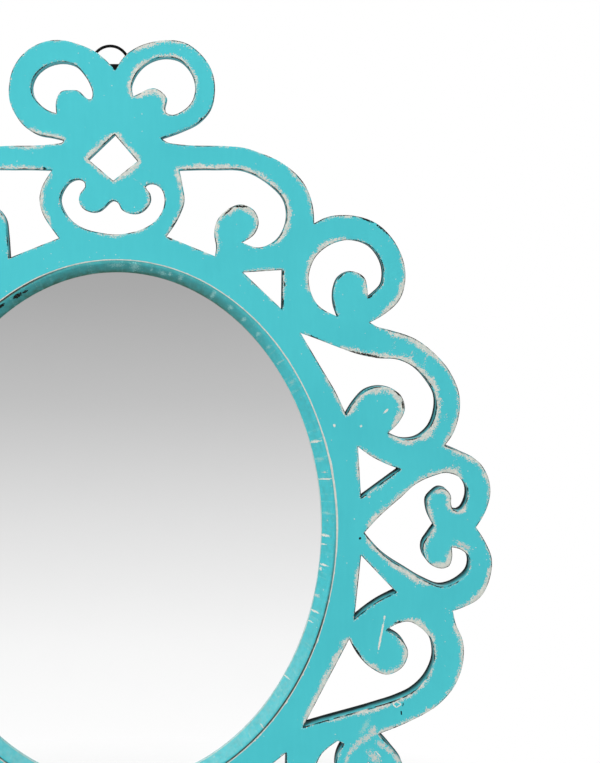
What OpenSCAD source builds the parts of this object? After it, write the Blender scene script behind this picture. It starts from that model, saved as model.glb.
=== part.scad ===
// Oval wall mirror in a carved openwork panel.
// The panel's back lies in the plane y = 0, with the wall behind it (+y) and the viewer in front (-y).
// The origin is the centre of the oval, on the flat back.

/* [Oval] */
// Width of the bevelled liner ring, over its outer edge
liner_w = 351; // [330:1:370]
// Height of the bevelled liner ring, over its outer edge
liner_h = 431; // [410:1:455]
// Width of the liner beside the glass, from its outer edge to the glass
liner_run = 11; // [8:0.5:13]
// Width of the liner at its top and its foot, from its outer edge to the glass
liner_run_ends = 9.5; // [8:0.5:13]
// Width of the liner's flat rim, outside the slope
liner_rim = 1.4; // [1:0.2:2.5]
// Height of the liner's inner edge where it meets the glass
liner_land = 1.6; // [1:0.2:3]
// Easing of the liner's outer front edge
liner_ease = 0.8; // [0.4:0.2:1.2]
// Height of the liner, from its face to the glass
liner_depth = 11.5; // [9:0.5:12]

/* [Fretwork panel] */
// Wood beside the oval, from the liner to the widest scroll
side_border = 126; // [118:1:135]
// Wood above and below the oval, from the liner to the top of the crest
crest_border = 176.5; // [165:0.5:185]
// Offset of the carving from the centre of the oval, as cut by hand
fret_x = -1.2; // [-2:0.1:2]
// Thickness of the panel
panel_t = 18; // [17:0.5:22]
// Gap between the liner and the panel, seen as a fine crack
liner_gap = 0.3; // [0.2:0.1:0.6]

/* [Glass and backing] */
// Thickness of the mirror glass
glass_t = 3; // [3:0.5:4]
// How far the glass reaches behind the panel, past the liner
glass_lap = 4; // [3:0.5:5]
// Thickness of the backing board
board_t = 3.5; // [3:0.5:4]
// How far the backing board reaches past the liner
board_lap = 11; // [9:0.5:12]
// Clearance round the glass and the board in their pockets
pocket_gap = 0.5; // [0.3:0.1:0.8]
// Number of screws round the backing board
board_screws = 12; // [8:2:16]

/* [Hanger] */
// Offset of the hanger from the centre line, as fitted by hand
hanger_x = -6; // [-7:0.5:4]
// Height of the ring's bar below the top of the crest
ring_drop = 19; // [18:0.5:24]
// Wire of the hanging ring
ring_wire = 2.4; // [2:0.1:2.8]
// Width of the hanging ring, over the wire
ring_w = 32.4; // [30:0.2:35]
// Height of the ring's bow above its bar, along the straight legs
ring_leg = 1.5; // [1:0.5:3]
// How far the resting ring leans on the back of the crest, in degrees
ring_lean = 4.5; // [4:0.5:5]
// Running clearance between the ring's bar and the strap's eye
ring_play = 0.06; // [0.04:0.01:0.1]
// Width of the steel strap
strap_w = 14; // [12:1:18]
// Length of the strap below the ring's bar
strap_len = 44; // [42:1:48]
// Thickness of the strap's sheet, folded double below the eye
strap_sheet = 0.8; // [0.7:0.1:1]

/* [Screws and pads] */
// Shank of the round-head screws through the strap
hanger_screw_d = 3; // [2.6:0.2:3.6]
// Length of those screws under the head
hanger_screw_len = 13; // [10:1:14]
// Shank of the countersunk screws of the board
board_screw_d = 2.6; // [2.4:0.2:3]
// Length of the board's screws
board_screw_len = 11; // [9:1:13]
// Clearance round every screw, on the radius
screw_play = 0.1; // [0.05:0.05:0.2]
// Diameter of the felt pads
pad_d = 18; // [14:1:20]
// Thickness of the felt pads
pad_t = 5; // [4.5:0.5:7]

/* [Hidden] */
$fn = 48;

PAINT = [0.27, 0.75, 0.78];
SILVER = [0.80, 0.81, 0.82];
BOARD = [0.55, 0.41, 0.27];
BLACK_STEEL = [0.07, 0.07, 0.07];
ZINC = [0.72, 0.72, 0.70];
FELT = [0.30, 0.29, 0.28];

// Length of one step along a curved outline, and number of steps round an oval
curve_step = 4;
oval_steps = 120;
// How far a cut runs past the face it opens
past = 1;

// Half sizes of the liner's outer edge
oval = [liner_w / 2, liner_h / 2];
border = [side_border, crest_border];
// Half sizes and borders that the knots below are drawn for
drawn_oval = [175.5, 215.5];
drawn_border = [126, 176.5];

// Distances from the panel's back: the glass lies on the liner and the board on the glass
glass_back = panel_t - liner_depth - glass_t;
glass_front = panel_t - liner_depth;

// The ring's bar turns in the strap's eye, which lies against the panel's back
ring_r = (ring_w - ring_wire) / 2;
eye_bore_r = ring_wire / 2 + ring_play;
eye_r = eye_bore_r + strap_sheet;
strap_t = 2 * strap_sheet;
bar_z = oval[1] + crest_border - ring_drop;
// Round heads are twice as wide as their shank, with a crossed recess
screw_head_r = hanger_screw_d;
screw_head_h = 0.6 * hanger_screw_d;
recess_len = 1.2 * screw_head_r;
recess_w = screw_head_r / 4;
// Drop of the two strap screws below the ring's bar: one clear of the folded ring, one in the strap's end
strap_hole_drops = [ring_leg + ring_w / 2 + 2 * screw_head_r, strap_len - strap_w / 2];

// The board's screws stand in the middle of the wood behind which the board laps past the glass
board_screw_in = (glass_lap + board_lap) / 2;

// Round knobs of the two lower circles, which carry the felt pads
pad_knob = [188, -193];

// Outline knots in mm from the oval's centre, read clockwise: [x, z], with a third value at a sharp corner.
// Right loop of the crest, from the notch to the crotch above the arm
crest_right = [
    [0, 368, 1], [9.5, 381], [18, 386.5], [35.5, 391.5], [46, 392], [57, 389.5], [67.5, 382],
    [77, 368.5], [80, 351], [76.5, 336.5], [67, 326], [54, 319.5], [37, 313.5, 1]
];
// Left loop of the crest, from the crotch to the notch
crest_left = [
    [-41, 312, 1], [-52, 314.5], [-60.5, 316], [-72, 322.5], [-79.5, 332], [-84.5, 344], [-85, 355],
    [-82, 368.5], [-72.5, 382], [-61.5, 389], [-49.5, 392], [-39, 391.5], [-28.5, 388.5], [-17, 383.5], [-9.5, 378]
];
// Arm from the crest to the shoulder
arm_edge = [
    [42.5, 310], [47.5, 309], [57.5, 308], [92, 307], [102.5, 306], [115.5, 302], [134, 293.5],
    [151.5, 277], [158, 260.5]
];
// Round of the upper circle
circle_edge = [
    [159.5, 245, 1], [170.5, 250.5], [183.5, 252], [209, 245.5], [226, 227], [232.5, 204.5], [228, 184.5],
    [215.5, 172.5]
];
// Side of the panel, from the upper circle over the heart to the lower circle
side_edge = [
    [204, 166, 1], [210, 162.5], [222.5, 159], [239, 153.5], [255, 142], [269, 125], [276, 105.5],
    [275, 90], [270, 76],
    [264, 67.5, 1], [278, 61.5], [291, 54.5], [299, 41], [300.5, 31.5], [297.5, 17],
    [289, 2, 1], [296.5, -10], [301.5, -22.5], [300, -39], [292, -54.5], [279, -62],
    [270.5, -65, 1], [272.5, -74.5], [278.5, -89], [279, -103], [271.5, -125.5], [260, -139], [234.5, -154],
    [211, -163.5, 1], [222, -176], [230, -187], [232, -204.5], [225.5, -227], [208.5, -245],
    [183.5, -251.5], [170.5, -250], [159.5, -245, 1]
];

// Openings of the crest
loop_right_hole = [
    [14.5, 347, 1], [13, 355], [16, 363.5], [23, 372], [32, 377], [42, 378.5], [52, 376], [59, 369.5],
    [63, 361.5], [64, 351], [61, 342], [55, 336], [43.5, 332.5], [41, 334], [40, 339],
    [41.5, 345.5], [38, 350], [31.5, 353.5], [24.5, 352], [20, 349.5]
];
loop_left_hole = [
    [-47, 333.5, 1], [-53, 335.5], [-60.5, 341], [-66, 348.5], [-67, 355.5], [-64.5, 363], [-57, 370.5],
    [-48.5, 374], [-40, 374.5], [-32, 372], [-24.5, 364], [-19.5, 355], [-18, 349], [-19, 345],
    [-21, 344.5], [-24.5, 347], [-29.5, 351.5], [-36, 352], [-43, 351], [-46.5, 346], [-47.5, 339]
];
diamond_hole = [[-0.5, 316.5, 1], [18, 295, 1], [-1.5, 279.5, 1], [-21.5, 296.5, 1]];
smile_hole = [
    [-44, 264.5], [-41, 273], [-35.5, 279], [-29.5, 280.5], [-24.5, 278], [-24, 274.5], [-27.5, 270],
    [-29, 264], [-26, 257.5], [-17.5, 254], [-12.5, 255], [-7, 259.5], [-2, 263.5], [2, 262],
    [5.5, 256], [13, 253], [19.5, 253.5], [25.5, 258], [28.5, 264], [27.5, 270], [24, 275], [27.5, 277],
    [32.5, 276.5], [37.5, 272], [39.5, 266], [38.5, 257], [33, 248], [24.5, 242], [13, 238], [0, 236.5],
    [-12.5, 238], [-24.5, 241], [-33, 245.5], [-40.5, 254]
];

// Openings of an upper corner; the left arm's, cut a little smaller, is drawn here as its mirror image
arm_hole = [
    [51.5, 288, 1], [79.5, 288.5], [105, 287], [120.5, 279], [136, 262], [137.5, 251], [129, 232],
    [115.5, 226], [102, 230, 1], [112.5, 238], [115, 245.5], [111.5, 255.5], [101, 260.5], [90, 256.5],
    [82, 248], [79.5, 238], [81, 225], [80, 219, 1], [41, 235, 1], [51.5, 251.5], [55.5, 263.5],
    [54, 275.5]
];
left_arm_hole = [
    [50.5, 288, 1], [79.5, 288.5], [105, 287], [120.5, 279], [136, 262], [137.5, 251], [129, 232],
    [115.5, 226], [102, 230, 1], [112.5, 238], [115, 245.5], [112, 256], [103, 260.5], [94.5, 257],
    [88, 248], [86.5, 238], [85.5, 226], [85, 217.5, 1], [45, 233.5, 1], [53, 244.5], [57, 251], [59.5, 257.5],
    [60.5, 265.5], [58.5, 274.5], [54.5, 282]
];
arm_eye_hole = [[102.5, 206, 1], [134, 208, 1], [133.5, 176.5, 1]];
circle_hole = [
    [188.5, 232], [203.5, 227.5], [215, 206], [213.5, 196.5], [207.5, 190], [202.5, 186, 1], [202, 193],
    [199.5, 202], [188.5, 207], [178.5, 201.5], [175.5, 194], [175, 182], [178.5, 170.5, 1], [161.5, 181],
    [155, 200.5], [160, 217.5], [172, 228]
];

// Openings of a side
upper_scroll_hole = [
    [148.5, 157.5, 1], [161, 153], [176.5, 147], [195, 140.5], [209, 137.5], [227, 136], [239.5, 130],
    [250.5, 118.5], [256.5, 107.5], [256.5, 94], [251, 81], [241, 73.5], [230, 72.5], [218.5, 77.5, 1],
    [227.5, 86.5], [232, 96.5], [228.5, 108], [214, 114.5], [200.5, 111.5], [192, 103], [185, 92, 1],
    [177, 109.5], [165.5, 129]
];
upper_eye_hole = [[194.5, 66.5, 1], [206.5, 58], [216.5, 53], [228.5, 48.5, 1], [197, 25.5, 1]];
heart_hole = [
    [199.5, -2.5, 1], [211, 10], [230, 27], [240, 36], [254.5, 43], [265, 45.5], [275, 42.5],
    [281.5, 34.5], [281.5, 24], [275, 15], [271, 16], [269, 20.5], [269, 26.5], [265.5, 32],
    [259.5, 33], [254.5, 29.5], [250, 24], [250, 17], [256, 2.5, 1], [251, -4.5], [246.5, -12],
    [247, -20.5], [253, -28], [261, -31], [267.5, -29], [269.5, -24], [269.5, -14, 1], [277, -16],
    [283.5, -22.5], [283, -32.5], [275.5, -40.5], [261, -45.5], [248.5, -41], [233, -32], [215, -20]
];
lower_eye_hole = [[197, -20.5, 1], [225, -50, 1], [209.5, -58], [191.5, -71.5, 1]];
lower_scroll_hole = [
    [187.5, -87.5, 1], [193, -98], [203.5, -109.5], [218.5, -116], [230.5, -109.5], [234.5, -97], [230, -88.5],
    [217, -80.5, 1], [227, -75], [235, -73.5], [244, -78], [253.5, -89.5], [255.5, -102],
    [248.5, -120], [238, -130], [225.5, -136], [208.5, -141.5], [164, -154], [150.5, -158, 1]
];

// Openings of a lower corner
foot_eye_hole = [[102.5, -206, 1], [136.5, -208, 1], [137, -178.5, 1]];
foot_circle_hole = [
    [188.5, -232], [203.5, -227.5], [215, -206], [213.5, -196.5], [207.5, -190], [202.5, -186, 1], [202, -193],
    [199.5, -202], [188.5, -207], [180, -202.5], [177, -194], [177, -185.5], [179.5, -177.5], [183, -171.5, 1],
    [178.5, -169, 1], [172, -173.5], [165.5, -179.5], [161, -188.5], [158, -200.5], [160, -217.5], [172, -228]
];

// Mirror images of a list of knots; the corner mark stays
function flip_x(k) = [for (p = k) [for (i = [0 : len(p) - 1]) i == 0 ? -p[0] : p[i]]];
function flip_z(k) = [for (p = k) [for (i = [0 : len(p) - 1]) i == 1 ? -p[1] : p[i]]];
function backwards(k) = [for (i = [len(k) - 1 : -1 : 0]) k[i]];

// One side of the rim from the crest's crotch down to the foot's crotch, then the foot's loop
function half_rim() = concat(
    arm_edge, circle_edge, side_edge, flip_z(backwards(arm_edge)), flip_z(backwards(crest_right))
);
function without_last(k) = [for (i = [0 : len(k) - 2]) k[i]];
function rim() = concat(
    crest_right, half_rim(), backwards(flip_x(without_last(half_rim()))), crest_left
);

// Openings of the whole panel
function side_holes(upper_arm) = [
    upper_arm, arm_eye_hole, circle_hole, upper_scroll_hole, upper_eye_hole, heart_hole,
    lower_eye_hole, lower_scroll_hole, foot_circle_hole, foot_eye_hole, flip_z(arm_hole)
];
function holes() = concat(
    side_holes(arm_hole), [for (h = side_holes(left_arm_hole)) flip_x(h)],
    [loop_right_hole, loop_left_hole, diamond_hole, smile_hole],
    [flip_z(loop_right_hole), flip_x(flip_z(loop_right_hole)), flip_z(diamond_hole), flip_z(smile_hole)]
);

// Knots move with the oval and the borders: inside the oval's box with the oval, outside it with the border
function stretched(v, i) = let (a = abs(v)) sign(v) * (
    a <= drawn_oval[i]
        ? a * oval[i] / drawn_oval[i]
        : oval[i] + (a - drawn_oval[i]) * border[i] / drawn_border[i]
);
function place(p) = [stretched(p[0], 0) + fret_x, stretched(p[1], 1)];

// Smooth closed curve through knots, sharp at the marked ones
function at(k, i) = k[(i + len(k)) % len(k)];
function spot(k, i) = place(at(k, i));
function sharp(k, i) = len(at(k, i)) == 3;
function reach(k, i) = norm(spot(k, i + 1) - spot(k, i));
function heading(k, i) = (spot(k, i + 1) - spot(k, i)) / reach(k, i);
function through(k, i) = let (before = reach(k, i - 1), after = reach(k, i))
    (heading(k, i - 1) * after + heading(k, i) * before) / (before + after);
function leaving(k, i) = !sharp(k, i) ? through(k, i)
    : sharp(k, i + 1) ? heading(k, i) : (3 * heading(k, i) - through(k, i + 1)) / 2;
function arriving(k, i) = !sharp(k, i + 1) ? through(k, i + 1)
    : sharp(k, i) ? heading(k, i) : (3 * heading(k, i) - through(k, i)) / 2;
function span(k, i) = let (
        a = spot(k, i), b = spot(k, i + 1), d = reach(k, i), u = leaving(k, i) * d, v = arriving(k, i) * d,
        n = sharp(k, i) && sharp(k, i + 1) ? 1 : max(2, ceil(d / curve_step))
    ) [for (j = [0 : n - 1]) let (t = j / n)
        a * (2 * t + 1) * (1 - t) * (1 - t) + u * t * (1 - t) * (1 - t)
        + b * t * t * (3 - 2 * t) - v * t * t * (1 - t)
    ];
function curve(k) = [for (i = [0 : len(k) - 1]) each span(k, i)];

// Point at a given angle of the oval, a distance outside the liner's edge
function oval_point(grow, angle) = [(oval[0] + grow) * cos(angle), (oval[1] + grow) * sin(angle)];
function oval_points(grow) = [for (i = [0 : oval_steps - 1]) oval_point(grow, 360 * i / oval_steps)];

// Stands a flat outline up: its lower face lies a distance in front of the panel's back
module upright(from, thick) {
    rotate([90, 0, 0]) translate([0, 0, from]) linear_extrude(thick) children();
}

// Stands a round piece on the panel's back at a point, its +z pointing forwards into the wood
module from_back(x, z) {
    translate([x, 0, z]) rotate([90, 0, 0]) children();
}

// Places of the screws round the board and of those through the strap
module at_board_screws() {
    for (i = [0 : board_screws - 1]) {
        p = oval_point(board_screw_in, 360 * (i + 0.5) / board_screws);
        from_back(p[0], p[1]) children();
    }
}

module at_strap_screws() {
    for (drop = strap_hole_drops) from_back(hanger_x, bar_z - drop) children();
}

// Countersunk screw or, with play, the hole for it; its head is flush with z = 0
module countersunk(d, length, play) {
    head_r = d;
    cylinder(r = d / 2 + play, h = length + play);
    cylinder(r1 = head_r + play, r2 = d / 2 + play, h = d / 2);
}

module fretwork_panel() {
    color(PAINT) difference() {
        upright(0, panel_t) difference() {
            polygon(curve(rim()));
            polygon(oval_points(liner_gap));
            for (h = holes()) polygon(curve(h));
        }
        upright(-past, board_t + past) polygon(oval_points(board_lap + pocket_gap));
        upright(0, glass_front) polygon(oval_points(glass_lap + pocket_gap));
        at_board_screws() cylinder(r = board_screw_d / 2 + screw_play, h = board_screw_len + screw_play);
        at_strap_screws() translate([0, 0, -past])
            cylinder(r = hanger_screw_d / 2 + screw_play, h = hanger_screw_len + past);
    }
}

// Closed ring round the oval from a cross-section: [inset beside the glass, distance from the panel's back]
module oval_ring(section) {
    m = len(section);
    ends = liner_run_ends / liner_run;
    corners = [for (s = section) each [
        for (i = [0 : oval_steps - 1]) let (a = 360 * i / oval_steps)
            [(oval[0] - s[0]) * cos(a), -s[1], (oval[1] - s[0] * ends) * sin(a)]
    ]];
    function corner(j, i) = (j % m) * oval_steps + i % oval_steps;
    polyhedron(corners, [
        for (j = [0 : m - 1]) for (i = [0 : oval_steps - 1])
            each [
                [corner(j, i), corner(j + 1, i), corner(j + 1, i + 1)],
                [corner(j, i), corner(j + 1, i + 1), corner(j, i + 1)]
            ]
    ]);
}

module oval_liner() {
    color(PAINT) oval_ring([
        [0, glass_front],
        [0, panel_t - liner_ease],
        [liner_ease, panel_t],
        [liner_ease + liner_rim, panel_t],
        [liner_run, glass_front + liner_land],
        [liner_run, glass_front]
    ]);
}

module mirror_glass() {
    color(SILVER) upright(glass_back, glass_t) polygon(oval_points(glass_lap));
}

module backing_board() {
    color(BOARD) difference() {
        upright(0, board_t) polygon(oval_points(board_lap));
        at_board_screws() countersunk(board_screw_d, board_screw_len, screw_play);
    }
}

module backing_screws() {
    color(ZINC) at_board_screws() countersunk(board_screw_d, board_screw_len, 0);
}

module hanger_strap() {
    color(BLACK_STEEL) difference() {
        union() {
            along_bar(eye_r, strap_w);
            translate([hanger_x - strap_w / 2, 0, bar_z - strap_len + strap_w / 2])
                cube([strap_w, strap_t, strap_len - strap_w / 2]);
            from_back(hanger_x, bar_z - strap_len + strap_w / 2)
                translate([0, 0, -strap_t]) cylinder(d = strap_w, h = strap_t);
        }
        along_bar(eye_bore_r, strap_w + 2 * past);
        at_strap_screws() translate([0, 0, -strap_t - past])
            cylinder(r = hanger_screw_d / 2 + screw_play, h = strap_t + 2 * past);
    }
}

// Round bar about the ring's axis
module along_bar(r, length) {
    translate([hanger_x, eye_r, bar_z]) rotate([0, 90, 0]) cylinder(r = r, h = length, center = true);
}

module hanger_ring() {
    color(BLACK_STEEL) translate([hanger_x, eye_r, bar_z]) rotate([ring_lean, 0, 0]) {
        translate([0, 0, ring_leg]) rotate([90, 0, 0])
            rotate_extrude(angle = 180, $fn = 96) translate([ring_r, 0]) circle(d = ring_wire);
        rotate([0, 90, 0]) cylinder(d = ring_wire, h = 2 * ring_r, center = true);
        for (side = [-1, 1]) translate([side * ring_r, 0, 0]) {
            sphere(d = ring_wire);
            cylinder(d = ring_wire, h = ring_leg);
        }
    }
}

module hanger_screws() {
    color(ZINC) at_strap_screws() translate([0, 0, -strap_t]) {
        cylinder(d = hanger_screw_d, h = hanger_screw_len);
        difference() {
            translate([0, 0, -screw_head_h]) cylinder(r = screw_head_r, h = screw_head_h);
            for (turn = [0, 90]) rotate(turn) translate([0, 0, -screw_head_h])
                cube([recess_len, recess_w, screw_head_h], center = true);
        }
    }
}

module felt_pads() {
    for (side = [-1, 1]) color(FELT) from_back(side * stretched(pad_knob[0], 0) + fret_x, stretched(pad_knob[1], 1))
        translate([0, 0, -pad_t]) cylinder(d = pad_d, h = pad_t);
}

fretwork_panel();
oval_liner();
mirror_glass();
backing_board();
backing_screws();
hanger_strap();
hanger_ring();
hanger_screws();
felt_pads();
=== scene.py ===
import math

import bmesh
import bpy
import numpy as np
from mathutils import Matrix, Vector, kdtree, noise
from mathutils.geometry import delaunay_2d_cdt


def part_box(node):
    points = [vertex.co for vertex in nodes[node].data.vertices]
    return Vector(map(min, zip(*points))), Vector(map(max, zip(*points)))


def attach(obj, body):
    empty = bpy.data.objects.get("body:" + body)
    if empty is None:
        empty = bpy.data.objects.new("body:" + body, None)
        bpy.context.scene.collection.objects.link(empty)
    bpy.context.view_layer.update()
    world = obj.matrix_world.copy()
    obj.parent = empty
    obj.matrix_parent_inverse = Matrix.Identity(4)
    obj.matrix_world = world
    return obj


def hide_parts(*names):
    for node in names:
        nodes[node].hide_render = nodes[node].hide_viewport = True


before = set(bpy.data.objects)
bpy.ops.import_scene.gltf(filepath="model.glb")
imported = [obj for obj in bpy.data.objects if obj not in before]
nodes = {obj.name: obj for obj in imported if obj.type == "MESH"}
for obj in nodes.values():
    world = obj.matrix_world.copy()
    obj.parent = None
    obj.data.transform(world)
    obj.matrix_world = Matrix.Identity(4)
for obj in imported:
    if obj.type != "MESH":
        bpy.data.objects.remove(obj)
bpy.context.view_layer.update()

mm = 0.001

# The wall is behind y = 0 and the viewer in front, where y is below 0
PANEL_LOW, PANEL_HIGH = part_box("fretwork_panel")
LINER_LOW, LINER_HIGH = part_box("oval_liner")
PANEL_FRONT = PANEL_LOW.y
GLASS_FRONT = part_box("mirror_glass")[0].y
# Half the liner's width and height over its outer edge
OVAL = Vector((LINER_HIGH.x - LINER_LOW.x, LINER_HIGH.z - LINER_LOW.z)) / 2

# The photograph: its size in points, the metres of the panel's face to a point, and the oval's centre in it
PHOTO_SIZE = (600, 763)
PHOTO_STEP = 0.8 * mm
OVAL_IN_PHOTO = (116.5, 530)

# The lens stands this far in front of the panel's face, straight in front of this point of the photograph
LENS_AWAY = 1.333
LENS_AT = (200, 250)

# Light that the room gives to the object, and what the glass sees of it, from the floor up: white below, grey above
ROOM_LIGHT = 0.44
ROOM_SEEN = [
    (0.0, 1.0), (0.36, 1.0), (0.385, 0.94), (0.42, 0.755), (0.455, 0.54), (0.49, 0.40), (0.53, 0.36), (0.62, 0.36),
    (1.0, 0.8),
]

# Round floor under the mirror, which fades into the white of the room
FLOOR_R = 0.78
FLOOR_GAP = 0.4 * mm
FLOOR_TURNS = 96
FLOOR_RINGS = 12

# Points of the solids that are one point, points of a new piece that are one point, and depths that are one depth
SAME_POINT = 1e-6
WELD = 2e-6
LEVEL = 1e-5
# Keeps a length of nothing from being divided by
TINY = 1e-18
# Edges of the pieces that bend by more than these angles stay crisp, in degrees
CRISP = {"panel": 38, "liner": 42, "screws": 35, "pads": 60}


def from_photo(px, py):
    """Place on the panel's face, as (x, z) in metres, of a point of the photograph."""
    return Vector(((px - OVAL_IN_PHOTO[0]) * PHOTO_STEP, (OVAL_IN_PHOTO[1] - py) * PHOTO_STEP))


def circle(radius, count, first=0.0):
    """Points round a circle, the first of them that share of a step on."""
    turns = [2 * math.pi * (i + first) / count for i in range(count)]
    return [(radius * math.cos(a), radius * math.sin(a)) for a in turns]


def quads(upper, lower):
    """Faces between two rings of points."""
    n = len(upper)
    return [(upper[i], upper[(i + 1) % n], lower[(i + 1) % n], lower[i]) for i in range(n)]


def add_object(name, data):
    obj = bpy.data.objects.new(name, data)
    bpy.context.scene.collection.objects.link(obj)
    return obj


def new_piece(name, verts, faces, material, crisp, **marks):
    """Smooth piece with named values on its points, crisp where it bends by more than an angle in degrees."""
    mesh = bpy.data.meshes.new(name)
    mesh.from_pydata(verts, [], faces)
    for label, values in marks.items():
        mesh.attributes.new(label, "FLOAT", "POINT").data.foreach_set("value", np.array(values, np.float32))
    bm = bmesh.new()
    bm.from_mesh(mesh)
    bmesh.ops.remove_doubles(bm, verts=bm.verts, dist=WELD)
    bmesh.ops.recalc_face_normals(bm, faces=bm.faces)
    bm.to_mesh(mesh)
    bm.free()
    mesh.materials.append(material)
    mesh.polygons.foreach_set("use_smooth", [True] * len(mesh.polygons))
    mesh.set_sharp_from_angle(angle=math.radians(crisp))
    mesh.update()
    return add_object(name, mesh)


# Camera, light and floor


def make_camera():
    foot = from_photo(*LENS_AT)
    lens = bpy.data.cameras.new("camera")
    lens.sensor_width = 36
    lens.lens = lens.sensor_width * LENS_AWAY / (PHOTO_SIZE[1] * PHOTO_STEP)
    lens.shift_x = (PHOTO_SIZE[0] / 2 - LENS_AT[0]) / PHOTO_SIZE[1]
    lens.shift_y = (LENS_AT[1] - PHOTO_SIZE[1] / 2) / PHOTO_SIZE[1]
    lens.clip_start, lens.clip_end = 0.05, 50
    camera = add_object("camera", lens)
    camera.location = (foot.x, PANEL_FRONT - LENS_AWAY, foot.y)
    camera.rotation_euler = (math.radians(90), 0, 0)
    bpy.context.scene.camera = camera
    bpy.context.scene.view_settings.view_transform = "Standard"


def make_lamp(name, place, size, power):
    """Round lamp that points at the middle of the mirror."""
    lamp = bpy.data.lights.new(name, "AREA")
    lamp.shape = "DISK"
    lamp.size = size
    lamp.energy = power
    obj = add_object(name, lamp)
    obj.location = place
    obj.rotation_euler = (-Vector(place)).to_track_quat("-Z", "Y").to_euler()


def make_room():
    world = bpy.data.worlds.new("room")
    bpy.context.scene.world = world
    world.use_nodes = True
    world.node_tree.nodes.clear()
    g = Graph(world.node_tree)
    way = g.split(g.add("ShaderNodeTexCoord").outputs["Generated"])["Z"]
    seen = g.ramp(g.line(way, 0.5, 0.5), [(at, (v, v, v)) for at, v in ROOM_SEEN])
    ray = g.add("ShaderNodeLightPath").outputs
    white = g.most(ray["Is Camera Ray"], ray["Is Transmission Ray"])
    lit = g.mix(ray["Is Glossy Ray"], (ROOM_LIGHT, ROOM_LIGHT, ROOM_LIGHT * 1.01), seen)
    background = g.add("ShaderNodeBackground", Color=g.mix(white, lit, (1, 1, 1)), Strength=1.0)
    g.link(background.outputs["Background"], g.add("ShaderNodeOutputWorld").inputs["Surface"])


def make_floor():
    verts = [(0, 0)]
    faces = [(0, 1 + i, 1 + (i + 1) % FLOOR_TURNS) for i in range(FLOOR_TURNS)]
    inner = None
    for j in range(FLOOR_RINGS):
        outer = range(len(verts), len(verts) + FLOOR_TURNS)
        verts += circle(FLOOR_R * (j + 1) / FLOOR_RINGS, FLOOR_TURNS)
        if inner:
            faces += quads(outer, inner)
        inner = outer
    mesh = bpy.data.meshes.new("floor")
    mesh.from_pydata([(x, y, PANEL_LOW.z - FLOOR_GAP) for x, y in verts], [], faces)
    mesh.materials.append(floor_material())
    floor = add_object("floor", mesh)


def floor_material():
    g = new_material("pale_floor")
    fade = g.span(g.vector("LENGTH", g.vector("MULTIPLY", g.place, (1, 1, 0))), 0.55 * FLOOR_R, 0.98 * FLOOR_R)
    tone = g.mix(g.noise(3.0, 3), (0.80, 0.80, 0.79), (0.86, 0.86, 0.85))
    plain = g.add("ShaderNodeBsdfDiffuse", Color=tone)
    white = g.add("ShaderNodeEmission", Color=(1, 1, 1, 1), Strength=1.0)
    ray = g.add("ShaderNodeLightPath").outputs
    seen = g.most(ray["Is Camera Ray"], ray["Is Glossy Ray"], ray["Is Transmission Ray"])
    both = g.add("ShaderNodeMixShader", Fac=g.times(fade, seen))
    g.link(plain.outputs["BSDF"], both.inputs[1])
    g.link(white.outputs["Emission"], both.inputs[2])
    return g.finish(both.outputs["Shader"])


# Building of materials


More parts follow.
